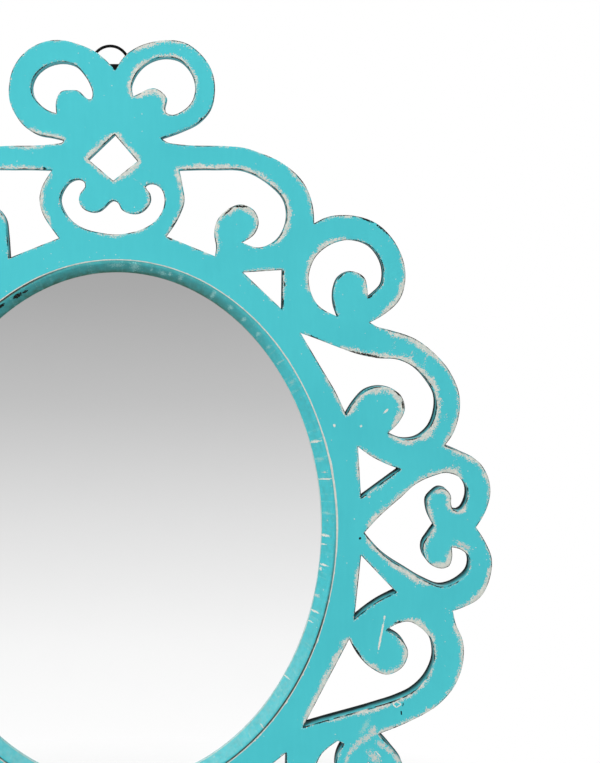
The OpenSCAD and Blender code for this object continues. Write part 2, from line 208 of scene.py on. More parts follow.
class Graph:
    """Short calls that place nodes in one material, group or world."""

    def __init__(self, tree, mat=None):
        self.tree = tree
        self.mat = mat

    def link(self, source, target):
        self.tree.links.new(source, target)

    def put(self, socket, value):
        if isinstance(value, bpy.types.NodeSocket):
            self.link(value, socket)
        else:
            if socket.type == "RGBA" and len(value) == 3:
                value = (*value, 1)
            socket.default_value = value

    def add(self, kind, *values, **named):
        """Node with its options and inputs by name, and unnamed values in the order of its inputs."""
        node = self.tree.nodes.new(kind)
        for name in [n for n in named if hasattr(node, n) and n[0].islower()]:
            setattr(node, name, named.pop(name))
        for name, value in named.items():
            self.put(node.inputs[name.replace("_", " ")], value)
        for socket, value in zip(node.inputs, values):
            self.put(socket, value)
        return node

    def math(self, operation, *values, clamp=False):
        return self.add("ShaderNodeMath", *values, operation=operation, use_clamp=clamp).outputs[0]

    def times(self, first, *others):
        for other in others:
            first = self.math("MULTIPLY", first, other)
        return first

    def most(self, first, *others):
        for other in others:
            first = self.math("MAXIMUM", first, other)
        return first

    def minus(self, a, b):
        return self.math("SUBTRACT", a, b)

    def line(self, value, slope, start, clamp=False):
        """value * slope + start"""
        return self.math("MULTIPLY_ADD", value, slope, start, clamp=clamp)

    def span(self, value, low, high, to_low=0, to_high=1):
        """Maps low..high of a value to another range, clamped."""
        return self.add("ShaderNodeMapRange", value, low, high, to_low, to_high).outputs[0]

    def vector(self, operation, *values):
        node = self.add("ShaderNodeVectorMath", *values, operation=operation)
        return node.outputs["Value" if operation == "LENGTH" else "Vector"]

    def split(self, vector):
        return self.add("ShaderNodeSeparateXYZ", Vector=vector).outputs

    def behind(self, front):
        """Millimetres behind a front."""
        return self.line(self.split(self.place)["Y"], 1 / mm, -front / mm)

    def between(self, kind, first, factor, a, b):
        node = self.add("ShaderNodeMix", factor, data_type=kind)
        self.put(node.inputs[first], a)
        self.put(node.inputs[first + 1], b)
        return node

    def mix(self, factor, a, b):
        """Colour between a and b."""
        return self.between("RGBA", 6, factor, a, b).outputs[2]

    def mix_value(self, factor, a, b):
        """Number between a and b."""
        return self.between("FLOAT", 2, factor, a, b).outputs[0]

    def ramp(self, value, stops):
        node = self.add("ShaderNodeValToRGB", Fac=value)
        elements = node.color_ramp.elements
        for _ in stops[2:]:
            elements.new(0.5)
        for element, (at, colour) in zip(elements, stops):
            element.position = at
        for element, (at, colour) in zip(elements, stops):
            element.color = (*colour, 1)
        return node.outputs["Color"]

    def layers(self, colour, *coats):
        """A colour under coats, each given as its mask and its colour."""
        for mask, coat in coats:
            colour = self.mix(mask, colour, coat)
        return colour

    def noise(self, scale, detail=2, rough=0.5, at=None):
        """Value 0..1 of a cloudy noise, with its scale in features per metre."""
        at = self.place if at is None else at
        return self.add("ShaderNodeTexNoise", Vector=at, Scale=scale, Detail=detail, Roughness=rough).outputs["Fac"]

    def speckled(self, chance, grain):
        """Mask whose fading border breaks up into grains; the chance of the mark and the grain both run 0..1."""
        return self.span(self.math("ADD", chance, grain), 1.0, 1.2)

    def attribute(self, name):
        return self.add("ShaderNodeAttribute", attribute_name=name).outputs["Fac"]

    def bump(self, height, strength, distance):
        return self.add("ShaderNodeBump", Height=height, Strength=strength, Distance=distance).outputs["Normal"]

    def group(self, name, **inputs):
        return self.add("ShaderNodeGroup", node_tree=groups[name], Place=self.place, **inputs).outputs

    def finish(self, shader):
        self.link(shader, self.add("ShaderNodeOutputMaterial").inputs["Surface"])
        return self.mat

    def principled(self, **inputs):
        return self.finish(self.add("ShaderNodeBsdfPrincipled", **inputs).outputs["BSDF"])


def new_material(name):
    mat = bpy.data.materials.new(name)
    mat.use_nodes = True
    mat.node_tree.nodes.clear()
    g = Graph(mat.node_tree, mat)
    g.place = g.add("ShaderNodeTexCoord").outputs["Object"]
    return g


# Shader groups by name
groups = {}


def new_group(name, inputs, outputs):
    """Shader group: inputs with their usual value, or None for a place, and the names of its outputs, all numbers."""
    tree = bpy.data.node_groups.new(name, "ShaderNodeTree")
    for label, usual in inputs.items():
        kind = "NodeSocketFloat" if isinstance(usual, float) else "NodeSocketVector"
        socket = tree.interface.new_socket(name=label, in_out="INPUT", socket_type=kind)
        if usual is not None:
            socket.default_value = usual
    for label in outputs:
        tree.interface.new_socket(name=label, in_out="OUTPUT", socket_type="NodeSocketFloat")
    groups[name] = tree
    g = Graph(tree)
    given = g.add("NodeGroupInput").outputs
    g.place = given["Place"]
    return g, given, g.add("NodeGroupOutput").inputs


# Effects shared by several finishes


def edge_wear_group():
    """Paint rubbed off in a grainy band beside an edge, with a thin broken dark line on the very corner.

    Distance and widths are in millimetres. A steady edge has an even band and no dark line.
    """
    g, given, out = new_group(
        "edge_wear", {"Place": None, "Distance": 10.0, "Band": 0.0, "Light Wear": 0.5, "Steady": 0.0},
        ("Bare", "Dark", "Height"),
    )
    distance, steady = given["Distance"], given["Steady"]
    loose = g.minus(1.0, steady)
    fine = g.noise(1050, 3, 0.7)
    grain = g.span(fine, 0.35, 0.65)
    # the bare band, uneven along the edge, and the thin rubbing on all other edges
    strong = g.times(given["Band"], g.span(g.noise(95), 0.36, 0.62, 0.6, 1.15))
    strong = g.mix_value(steady, strong, given["Band"])
    light = g.times(g.span(g.noise(170, 3, 0.6), 0.47, 0.64, 0, 1.3), given["Light Wear"])
    width = g.most(strong, light)
    wander = g.times(g.minus(g.noise(330, 3, 0.6), 0.5), g.span(width, 0, 3, 0.4, 4.0))
    wander = g.times(wander, g.mix_value(steady, 1.0, 0.25))
    reach = g.minus(g.math("ADD", width, wander), distance)
    chance = g.line(g.math("DIVIDE", reach, g.mix_value(steady, 2.0, 0.45)), 0.5, 0.5, clamp=True)
    bare = g.speckled(g.math("MINIMUM", chance, 0.96), g.mix_value(steady, grain, 0.5))
    # paint kept on the corner in short runs
    kept_width = g.span(g.noise(120), 0.52, 0.64, -0.3, 1.0)
    kept = g.span(g.minus(g.line(grain, 0.6, kept_width), distance), 0.1, 0.5)
    bare = g.times(bare, g.minus(1.0, g.times(kept, loose)))
    # a thin dark line on the very corner in runs, and dark wood as dots inside the band
    runs = g.span(g.noise(70, 3, 0.6), 0.42, 0.52)
    corner = g.times(g.span(g.line(grain, 0.6, distance), 0.7, 1.15, 1, 0), runs)
    dots = g.times(g.span(fine, 0.68, 0.74), g.span(distance, 0.8, 2.4, 0.7, 0.0), g.span(width, 0.4, 2.0))
    g.link(bare, out["Bare"])
    g.link(g.times(g.most(corner, dots), loose), out["Dark"])
    g.link(g.minus(1.0, bare), out["Height"])


def specks_group():
    """Scattered small specks, each with its own size."""
    g, given, out = new_group("specks", {"Place": None, "Scale": 120.0, "Size": 0.14, "Amount": 0.1}, ("Mask",))
    wobble = g.add("ShaderNodeTexNoise", Vector=g.place, Scale=700.0, Detail=1.0).outputs["Color"]
    shifted = g.vector("MULTIPLY_ADD", wobble, (0.0016, 0.0016, 0.0016), g.place)
    cells = g.add("ShaderNodeTexVoronoi", Vector=shifted, Scale=given["Scale"]).outputs
    chance = g.add("ShaderNodeSeparateColor", Color=cells["Color"]).outputs
    chosen = g.math("LESS_THAN", chance["Red"], given["Amount"])
    size = g.times(given["Size"], g.line(chance["Green"], 0.8, 0.5))
    g.link(g.times(chosen, g.math("LESS_THAN", cells["Distance"], size)), out["Mask"])


def brush_group():
    """Streaks of a brush along one direction, as a tone and a height."""
    g, given, out = new_group("brush_marks", {"Place": None, "Stretch": (1.0, 1.0, 0.08)}, ("Tone", "Height"))
    streaks = g.noise(700, 3, 0.55, g.vector("MULTIPLY", g.place, given["Stretch"]))
    cloud = g.noise(14, 3)
    g.link(g.line(cloud, 0.7, g.times(streaks, 0.3)), out["Tone"])
    g.link(streaks, out["Height"])


def stroke_group():
    """One mark on a face, round a place and along an angle: a crisp scratch or chip, or a soft grainy patch."""
    g, given, out = new_group(
        "stroke",
        {"Place": None, "Centre": None, "Angle": 0.0, "Half Length": 0.01, "Half Width": 0.001, "Softness": 0.15},
        ("Mask",),
    )
    softness = given["Softness"]
    from_centre = g.vector("SUBTRACT", g.place, given["Centre"])
    turned = g.add("ShaderNodeVectorRotate", rotation_type="Y_AXIS", Vector=from_centre, Angle=given["Angle"])
    part = g.split(turned.outputs["Vector"])
    along = g.math("DIVIDE", part["X"], given["Half Length"])
    across = g.math("DIVIDE", part["Z"], given["Half Width"])
    far = g.math("SQRT", g.math("ADD", g.times(along, along), g.times(across, across)))
    far = g.line(g.minus(g.noise(500, 3, 0.65), 0.5), 1.3, far)
    chance = g.span(far, g.minus(1.0, softness), g.math("ADD", 1.0, softness), 1, 0)
    g.link(g.speckled(chance, g.span(g.noise(1250, 2, 0.65), 0.33, 0.67)), out["Mask"])


def grain_group():
    """Wood grain that runs along the height: dark pores and slow bands."""
    g, given, out = new_group("wood_grain", {"Place": None, "Scale": 60.0}, ("Bands", "Pores"))
    drawn = g.vector("MULTIPLY", g.place, (1, 1, 0.06))
    bands = g.add("ShaderNodeTexNoise", Vector=drawn, Scale=given["Scale"], Detail=4.0, Distortion=0.6).outputs["Fac"]
    g.link(bands, out["Bands"])
    g.link(g.span(g.noise(1500, 2, 0.6, drawn), 0.58, 0.70), out["Pores"])


def dust_group():
    """Dust and handling marks: soft pale clouds with fine dots."""
    g, given, out = new_group("dust", {"Place": None, "Amount": 0.3}, ("Mask",))
    cloud = g.span(g.noise(35, 4, 0.6), 0.45, 0.75)
    dots = g.span(g.noise(1800), 0.62, 0.75)
    g.link(g.times(g.line(dots, 0.5, g.times(cloud, 0.5)), given["Amount"]), out["Mask"])


# Finishes

# Paint, its cream undercoat, the dark stain under both, and bare wood, as linear colours
TURQUOISE = (0.076, 0.540, 0.590)
TURQUOISE_DEEP = (0.067, 0.505, 0.558)
# painted shade down the side walls of the panel's openings
WALL_SHADE = (0.006, 0.050, 0.056)
WALL_END = (0.003, 0.014, 0.015)
CREAM = (0.690, 0.690, 0.620)
CREAM_GREY = (0.530, 0.560, 0.520)
CREAM_THIN = (0.250, 0.560, 0.550)
STAIN = (0.010, 0.009, 0.008)
BROWN = (0.050, 0.032, 0.020)
# painted shade on the liner's upper part, also the colour of its random mottle
SHADE_AND_MOTTLE = (0.055, 0.150, 0.115)

# Marks on the panel, read in the photograph and laid on in this order, by colour: place (x, y) in its points, angle,
# length and width in its points, and softness
PANEL_MARKS = [
    (CREAM, [
        (381, 636, 79, 33, 2.0, 0.15), (384.5, 617.5, 79, 5, 2.2, 0.2), (394.7, 702.8, 37, 5.4, 1.3, 0.15),
        (398.8, 702.8, 149, 6, 1.3, 0.15), (398.8, 706, 35, 6, 1.3, 0.15), (394.7, 706, 138, 5.4, 1.3, 0.15),
    ]),
    (CREAM_GREY, [
        (372.8, 731.5, 70, 10, 8, 0.6), (366.5, 738, 40, 11, 6, 0.8), (360, 742, 50, 10, 6, 0.85),
        (354.5, 747, 50, 9, 5, 0.9), (350, 752.5, 55, 9, 4, 0.9), (347, 759, 75, 9, 4, 0.9),
    ]),
    (CREAM_THIN, [
        (365, 727, 62, 17, 5, 1.0),
    ]),
    (CREAM_GREY, [
        (382, 745, 150, 11, 5.5, 0.7), (390, 750.5, 145, 11, 6, 0.65), (397, 758, 125, 12, 6, 0.55),
        (374.5, 757.5, 130, 14, 8, 0.95),
    ]),
    (CREAM, [
        (378, 754, 135, 9, 1.2, 0.5), (386, 411, 45, 7, 2.2, 0.3), (334.5, 425.5, 90, 3.4, 2.6, 0.3),
        (361, 426, 0, 2.6, 2.4, 0.3),
    ]),
    (CREAM_GREY, [
        (463, 545, 152, 15, 4, 0.9), (369, 497, 20, 3, 2.4, 0.3),
    ]),
    (STAIN, [
        (401.3, 713, 100, 4.5, 1.5, 0.2), (403, 704.5, 80, 3.5, 1.4, 0.2), (360, 538.5, 30, 2.8, 2.3, 0.2),
        (44.5, 168.5, 0, 4.5, 2.8, 0.2), (36, 169.3, 4, 9, 1.3, 0.6), (170, 238.5, 155, 6, 1.8, 0.4),
        (172.5, 225.5, 50, 6, 1.5, 0.4), (164.5, 205.5, 80, 9, 1.4, 0.4), (201, 119.5, 60, 4, 1.8, 0.3),
        (396, 727, 20, 4.5, 1.6, 0.3), (463.5, 453, 160, 5, 1.8, 0.3), (368, 355, 168, 30, 2.2, 0.5),
        (356.5, 650.5, 123, 25, 2.0, 0.5), (314, 337.4, 154, 11, 2.2, 0.4), (367, 220, 158, 16, 2.2, 0.5),
        (383.5, 230, 141, 20, 2.2, 0.5), (397.5, 393, 136, 10, 2.2, 0.5), (402.8, 405, 100, 9, 2.0, 0.5),
        (398.5, 622.3, 14, 8, 2.0, 0.5), (425.2, 506, 98, 12, 2.0, 0.5), (196, 169.8, 178, 26, 1.9, 0.6),
        (241, 206.4, 178, 18, 2.2, 0.6), (228, 211.5, 42, 12, 2.0, 0.6), (178, 40.6, 0, 14, 2.0, 0.6),
        (299, 176.8, 128, 20, 2.2, 0.5), (491.5, 484, 100, 18, 1.8, 0.6), (488, 590, 60, 16, 1.8, 0.7),
        (343.5, 272.5, 25, 8, 2.0, 0.5), (459, 577.5, 38, 9, 2.0, 0.5), (161.5, 210.5, 62, 10, 2.0, 0.5),
        (351, 271.2, 0, 13, 1.9, 0.5), (361.5, 275.5, 132, 10, 1.9, 0.5), (341.5, 275.5, 50, 9, 1.7, 0.6),
        (370, 297, 30, 6, 2.0, 0.4), (336, 314.5, 150, 5, 2.0, 0.4), (283.2, 272.5, 90, 7, 1.8, 0.4),
        (284.5, 284, 100, 5, 1.6, 0.5), (283.2, 302, 90, 9, 1.5, 0.5),
    ]),
]

# Marks across the liner's slope, by colour: degrees round the oval, distance in from its outer edge, length and width
# in points, and softness
ACROSS_LINER = [
    (CREAM_GREY, [
        (-47.5, 3, 6, 1.8, 0.6), (-15, 11, 4, 3.0, 0.9), (12.5, 6, 5, 1.4, 0.8),
    ]),
    (CREAM, [
        (-35, 10.5, 7, 1.5, 0.5), (-21, 11, 5, 1.5, 0.4), (-18.5, 10, 8, 1.9, 0.4), (-9, 12, 2.6, 3.2, 0.6),
        (-8, 9.5, 7.5, 2.2, 0.5), (-3.5, 11.5, 5.5, 1.4, 0.4), (-1.5, 10, 9, 2.6, 0.5), (11, 6.8, 14, 1.8, 0.4),
        (19.5, 8, 12, 2.6, 0.4),
    ]),
    (CREAM_THIN, [
        (3.5, 9, 7, 3.0, 1.0), (15.5, 8, 8, 3.0, 0.8), (34, 7, 6, 2.5, 1.0), (39.5, 6, 7.5, 1.8, 0.6),
        (44, 7, 5, 3.0, 0.9), (48, 7, 5.5, 3.2, 0.7), (53, 6.5, 5, 3.6, 0.6), (57.5, 6.5, 4, 5.0, 1.0),
        (63, 5.5, 9, 3.8, 0.7), (72.5, 5, 5, 4.5, 0.9), (75.5, 5.2, 4, 3.0, 0.6), (80.5, 5.5, 3, 2.0, 0.8),
        (85, 4.6, 7.5, 8.0, 1.1), (90, 4.5, 3, 12.0, 1.3), (77.5, 6, 3, 7.0, 1.2),
    ]),
]

# Black chips along the liner's upper left, read in the same way
LINER_CHIPS = [(17, 296, 32, 11, 4.2, 0.15), (24.5, 291.8, 28, 7, 2.2, 0.2), (1, 306, 38, 8, 3.2, 0.2)]


def panel_marks():
    for tone, marks in PANEL_MARKS:
        for x, y, *rest in marks:
            yield from_photo(x, y), *rest, tone


def liner_marks():
    for tone, marks in ACROSS_LINER:
        for turn, inset, *rest in marks:
            a = math.radians(turn)
            way = Vector((math.cos(a) / OVAL.x, math.sin(a) / OVAL.y)).normalized()
            at = Vector((OVAL.x * math.cos(a), OVAL.y * math.sin(a))) - way * inset * PHOTO_STEP
            yield at, math.degrees(math.atan2(way.y, way.x)), *rest, tone
    for x, y, *rest in LINER_CHIPS:
        yield from_photo(x, y), *rest, STAIN


def marked(g, colour, marks, part=1.0):
    """Lays marks over a colour, in the part of the piece that the mask leaves."""
    for at, angle, length, width, softness, tone in marks:
        mark = g.group(
            "stroke", Centre=(at.x, PANEL_FRONT, at.y), Angle=math.radians(angle), Softness=softness,
            Half_Length=length * PHOTO_STEP / 2, Half_Width=width * PHOTO_STEP / 2,
        )
        colour = g.mix(g.times(mark["Mask"], part), colour, tone)
    return colour


def painted(g, wear, brush, specks, back, shade=0.0):
    """Turquoise over cream over dark stain, with painted shade where a mask gives it: colour, roughness and height from
    the masks.
    """
    paint = g.mix(g.span(brush["Tone"], 0.35, 0.65), TURQUOISE_DEEP, TURQUOISE)
    cream = g.mix(g.span(g.noise(420, 3, 0.65), 0.35, 0.65), CREAM_GREY, CREAM)
    colour = g.layers(
        paint, (wear["Bare"], cream), (g.times(specks, 0.75), CREAM), (shade, WALL_SHADE), (wear["Dark"], STAIN),
        (back, WALL_END),
    )
    rough = g.line(brush["Height"], 0.1, g.line(wear["Bare"], 0.28, 0.42))
    return colour, g.mix_value(back, rough, 0.9), g.line(brush["Height"], 0.12, wear["Height"])


# Where the panel's face ends, where the painted shade on its side walls begins and where its bare back begins, in
# millimetres behind its front, and the height where its crest begins, in metres
FACE_ENDS = (1.4, 2.2)
WALL_BEGINS = (1.2, 2.2)
BACK_BEGINS = (17.0, 17.6)
CREST_BEGINS = (0.22, 0.28)


def panel_material():
    g = new_material("panel_paint")
    behind = g.behind(PANEL_FRONT)
    edge = g.attribute("edge")
    worn = g.group(
        "edge_wear", Distance=edge, Band=g.attribute("worn"), Light_Wear=1.0, Steady=g.attribute("steady")
    )
    face = g.span(behind, *FACE_ENDS, 1, 0)
    wear = {"Bare": g.times(worn["Bare"], face), "Dark": worn["Dark"], "Height": worn["Height"]}
    brush = g.group("brush_marks", Stretch=(0.5, 1.0, 0.08))
    near = g.times(g.span(edge, 2, 9, 0.24, 0.06), face)
    specks = g.group("specks", Scale=330.0, Size=0.15, Amount=near)["Mask"]
    # down the side walls the paint darkens with depth as painted shade in the openings, and ends before the black rear
    # part; in the crest the paint reaches further and its painted shade stays lighter
    crest = g.span(g.split(g.place)["Z"], *CREST_BEGINS)
    depth = g.line(g.minus(g.noise(120, 3, 0.6), 0.5), 5.0, behind)
    depth = g.line(crest, -5.5, depth)
    shade = g.times(g.span(depth, 2, 10, 0.05, 0.92), g.span(behind, *WALL_BEGINS), g.line(crest, -0.6, 1.0))
    paint_ends = g.span(g.noise(24), 0.38, 0.62, 9.5, 13.5)
    back = g.span(g.minus(depth, paint_ends), -1.5, 1.5)
    colour, rough, height = painted(g, wear, brush, specks, back, shade)
    colour = marked(g, colour, panel_marks(), face)
    # the bare stained back
    grain = g.group("wood_grain", Scale=45.0)
    raw = g.mix(grain["Bands"], (0.045, 0.028, 0.018), (0.090, 0.056, 0.034))
    raw = g.mix(g.times(grain["Pores"], 0.6), raw, STAIN)
    rear = g.span(behind, *BACK_BEGINS)
    colour = g.mix(rear, colour, raw)
    height = g.minus(height, g.times(grain["Pores"], rear, 0.6))
    return g.principled(
        Base_Color=colour, Roughness=g.line(rear, 0.2, rough), Specular_IOR_Level=0.04,
        Normal=g.bump(height, 0.5, 0.0002),
    )


def liner_material():
    g = new_material("liner_paint")
    wear = g.group(
        "edge_wear", Distance=g.attribute("edge"), Band=g.attribute("worn"), Light_Wear=0.0, Steady=1.0
    )
    brush = g.group("brush_marks", Stretch=(0.6, 0.6, 0.3))
    specks = g.group("specks", Scale=330.0, Size=0.17, Amount=0.07)["Mask"]
    back = g.span(g.attribute("outside"), 0.3, 0.6)
    colour, rough, height = painted(g, wear, brush, specks, back)
    # painted shade on the upper part, where the slope faces down, most beside the glass, and a paler tone on the lower
    # slope
    shade_level = g.attribute("painted_shade")
    painted_shade = g.times(g.span(shade_level, 0, 1), g.span(g.noise(180, 4, 0.6), 0.3, 0.7, 0.7, 1.2))
    mottle = g.span(g.noise(200, 5, 0.75), 0.42, 0.68, 0, 0.22)
    pale = g.times(g.span(shade_level, -0.2, 0, 0.2, 0), g.span(g.noise(260, 4, 0.7), 0.35, 0.65, 0.3))
    # faint streaks across the slope, where the undercoat shows through
    way = g.vector("NORMALIZE", g.vector("MULTIPLY", g.place, (1, 0, 1)))
    streaks = g.times(
        g.span(g.noise(75, 3, 0.65, way), 0.53, 0.66, 0, 0.9), g.span(g.noise(330, 4, 0.75), 0.46, 0.60),
        g.span(shade_level, 0.0, 0.7, 1.0, 0.25),
    )
    colour = g.layers(colour, (g.most(painted_shade, mottle), SHADE_AND_MOTTLE), (pale, CREAM_GREY), (streaks, CREAM_THIN))
    colour = marked(g, colour, liner_marks())
    crack = g.times(g.attribute("crack"), g.span(g.noise(300, 2, 0.6), 0.35, 0.5, 0.7))
    colour = g.mix(crack, colour, BROWN)
    return g.principled(
        Base_Color=colour, Roughness=rough, Specular_IOR_Level=0.05, Normal=g.bump(height, 0.5, 0.0002)
    )


def mirror_material():
    g = new_material("silvered_glass")
    haze = g.group("dust", Amount=0.6)["Mask"]
    rim = g.span(g.behind(GLASS_FRONT), 0.05, 0.3)
    silver = g.mix(haze, (0.985, 0.985, 0.985), (0.965, 0.967, 0.970))
    colour = g.mix(rim, silver, (0.10, 0.20, 0.17))
    return g.principled(Base_Color=colour, Metallic=1.0, Roughness=g.line(haze, 0.02, g.line(rim, 0.4, 0.012)))


def board_material():
    g = new_material("hardboard")
    fibres = g.noise(260, 5, 0.7)
    base = g.mix(g.span(fibres, 0.35, 0.65), (0.150, 0.078, 0.036), (0.265, 0.150, 0.076))
    dark = g.group("specks", Scale=420.0, Size=0.2, Amount=0.12)["Mask"]
    dust = g.group("dust", Amount=0.25)["Mask"]
    base = g.layers(
        base, (g.times(g.noise(9, 3), 0.35), (0.105, 0.055, 0.028)), (g.times(dark, 0.7), (0.05, 0.028, 0.015)),
        (dust, (0.45, 0.40, 0.33)),
    )
    return g.principled(Base_Color=base, Roughness=g.line(fibres, 0.25, 0.55), Normal=g.bump(fibres, 0.35, 0.0002))


def black_steel_material():
    g = new_material("black_steel")
    pits = g.noise(1400, 3, 0.6)
    rub = g.span(g.noise(160, 3, 0.6), 0.60, 0.72, 0, 0.5)
    base = g.mix(rub, (0.003, 0.003, 0.003), (0.012, 0.011, 0.010))
    base = g.mix(g.group("dust", Amount=0.08)["Mask"], base, (0.06, 0.058, 0.055))
    return g.principled(
        Base_Color=base, Metallic=0.0, Roughness=g.line(pits, 0.2, 0.42), Specular_IOR_Level=0.05,
        Normal=g.bump(pits, 0.25, 0.0001),
    )


def zinc_material():
    g = new_material("zinc_plate")
    spangle = g.noise(900)
    base = g.mix(spangle, (0.48, 0.49, 0.48), (0.70, 0.70, 0.67))
    base = g.mix(g.group("dust", Amount=0.3)["Mask"], base, (0.30, 0.28, 0.25))
    return g.principled(
        Base_Color=base, Metallic=1.0, Roughness=g.line(spangle, 0.2, 0.26), Normal=g.bump(spangle, 0.15, 0.0001)
    )


def felt_material():
    g = new_material("felt")
    hairs = g.noise(2200, 4, 0.75)
    base = g.mix(g.span(hairs, 0.35, 0.65), (0.060, 0.057, 0.053), (0.150, 0.142, 0.132))
    base = g.mix(g.group("dust", Amount=0.3)["Mask"], base, (0.30, 0.29, 0.27))
    height = g.line(g.noise(500, 3, 0.6), 0.6, hairs)
    return g.principled(
        Base_Color=base, Roughness=g.line(hairs, 0.1, 0.88), Sheen_Weight=0.3, Normal=g.bump(height, 0.8, 0.0004)
    )


# The carved panel

# Rounding of the front edge, of that edge against the liner, and of the back edge, in millimetres, and the share by
# which the first wanders
ROUND_FRONT = 1.1
ROUND_OVAL = 0.3
ROUND_BACK = 0.4
ROUND_WANDER = 0.25
# Dips that hand work leaves in the face, and the distance from an edge where they are full, in millimetres
FACE_DIP = 0.35
DIP_FROM = 6
# Distance between points along an edge, and steps inwards from it and down the side walls, in millimetres
EDGE_STEP = 1.9
FRONT_STEPS = [0.18, 0.55, 1.3, 2.4, 3.8, 5.6]
BACK_STEPS = [0.4]
FACE_STEP = 6.5
ROW_STEP = 0.87 * FACE_STEP
WALL_STEPS = [1.5, 6.0, 12.0]
LAST_WALL_STEP = 0.5
# Points of one step inwards stand apart by at least these shares of the step along the edge and of their distance
# from it, and no edge is nearer to them than this share of their distance
APART_ALONG = 0.55
APART_INWARDS = 0.35
CLEAR = 0.93
# The loose net over the face keeps off the last step inwards by this share of its own step
NET_CLEAR = 0.45
# An outline turns a sharp corner where it turns by more than this, in degrees
CORNER = 32
# Distance from the edge that is given to places no wear reaches, in millimetres
UNWORN = 18.0
# Share by which the edge against the liner may stray from the oval, and the last step inwards that belongs to it
OVAL_STRAY = 0.006
OVAL_REACH = 8

# The carving's middle lies a little to the left of the oval's
MIDDLE = -1.2 * mm
# The photograph shows both sides of the panel to this distance from the middle, and ends this far below it
SEEN_ASIDE = 94 * mm
SEEN_BELOW = 190 * mm
# Worn stretches of edge, read in the photograph: places along them, by the width of the bare band, all in its points
WORN = {
    2: [
        [(372, 560), (380, 572)],
    ],
    2.5: [
        [(160, 41), (178, 41)], [(186, 52), (198, 68)], [(197, 100), (188, 110)],
        [(100, 237), (118, 238), (140, 233)], [(150, 192), (149, 204)], [(307, 198), (311, 210)],
        [(328, 220), (345, 215)], [(248, 269), (268, 268)], [(283, 275), (283, 290)], [(404, 262), (404, 278)],
        [(448, 370), (457, 388), (459, 402)], [(362, 452), (372, 458), (385, 464)], [(373, 490), (385, 482)],
        [(490, 485), (491, 500)], [(495, 560), (493, 545)], [(434, 642), (436, 652)], [(446, 694), (436, 704)],
        [(424, 684), (428, 676)], [(330, 716), (352, 713)],
    ],
    3: [
        [(36, 148), (18, 149)], [(96, 168), (103, 174)], [(184, 210), (178, 224), (172, 232)],
        [(354, 460), (356, 474)], [(370, 662), (360, 652)], [(329, 383), (337, 396), (344, 409)],
        [(461, 664), (458, 676)], [(404, 700), (412, 696)],
    ],
    3.5: [
        [(37, 129), (47, 134), (59, 138)], [(0, 168), (22, 168), (42, 167)], [(142, 64), (158, 57), (172, 57)],
        [(180, 62), (190, 72), (195, 86)], [(297, 175), (304, 188)], [(349, 250), (360, 262), (364, 275)],
        [(404, 441), (394, 440)], [(427, 503), (429, 512), (432, 520)], [(431, 534), (428, 545), (426, 554)],
        [(356, 576), (354, 590)], [(424, 712), (410, 719), (400, 723)], [(396, 725), (384, 730)],
    ],
    4: [
        [(142, 50), (150, 45)], [(165, 101), (164, 110)], [(176, 173), (184, 167), (200, 166)],
        [(311, 262), (308, 272), (308, 284)], [(361, 278), (364, 288)], [(458, 415), (454, 430), (447, 444)],
        [(457, 455), (468, 459)], [(372, 545), (384, 556), (398, 567)], [(398, 617), (412, 617)],
        [(457, 630), (462, 645), (462, 658)], [(362, 712), (374, 709), (386, 706)],
    ],
    4.5: [
        [(47, 180), (42, 198), (45, 218)], [(131, 90), (132, 76), (142, 64)],
        [(290, 210), (291, 222), (287, 232), (282, 241)], [(178, 178), (184, 190), (184, 204)],
        [(217, 245), (217, 226), (226, 212)], [(478, 464), (487, 473)], [(398, 494), (410, 486), (420, 481)],
        [(456, 516), (464, 512)], [(322, 686), (312, 704), (306, 716)],
    ],
    5: [
        [(90, 157), (98, 148), (108, 138)], [(120, 138), (130, 149), (139, 160)],
        [(137, 167), (128, 173), (119, 179)], [(200, 166), (225, 168), (252, 172), (262, 177)],
        [(262, 177), (278, 189), (288, 203)], [(254, 217), (257, 226), (254, 234)],
        [(338, 238), (325, 245), (316, 253)], [(352, 408), (360, 398), (372, 392)],
        [(372, 520), (384, 507), (398, 494)], [(444, 492), (449, 498), (450, 506)], [(457, 541), (466, 547)],
        [(462, 604), (474, 598)],
    ],
    5.5: [
        [(143, 93), (154, 90), (162, 95)], [(226, 212), (240, 207), (252, 213)], [(401, 288), (397, 298), (387, 308)],
        [(394, 334), (405, 340), (412, 343)], [(418, 346), (430, 352), (440, 361)],
        [(350, 349), (365, 354), (382, 356)], [(432, 382), (440, 398), (441, 410)],
        [(412, 617), (424, 623), (432, 634)], [(403, 644), (404, 654), (398, 664)],
        [(398, 664), (388, 669), (376, 667)],
    ],
    6: [
        [(382, 356), (400, 358), (414, 364), (430, 378)], [(440, 414), (434, 428), (424, 438), (408, 442)],
        [(374, 391), (388, 391), (398, 400)], [(400, 402), (403, 412), (399, 422)],
        [(434, 472), (446, 469), (458, 472)], [(441, 563), (448, 559)],
        [(343, 643), (336, 656), (331, 668), (322, 686)],
    ],
    6.5: [
        [(398, 567), (410, 576), (420, 583)], [(474, 598), (486, 590), (492, 575)],
    ],
}
# Wear of the unseen side and of the unseen foot, as a share of the seen one
WORN_ASIDE = 0.85
WORN_BELOW = 0.9
# A band keeps its width out to the first distance from its stretch, and ends at the second, in millimetres
BAND_REACH = (4.0, 9.0)
# Thin cream line on the panel's edge against the liner: height as a share of the oval's half, and width in millimetres
OVAL_BAND = [(-0.25, 0.75), (-0.10, 1.1), (0.08, 1.9), (0.25, 1.9), (0.42, 1.2), (0.65, 1.2), (0.9, 1.0)]


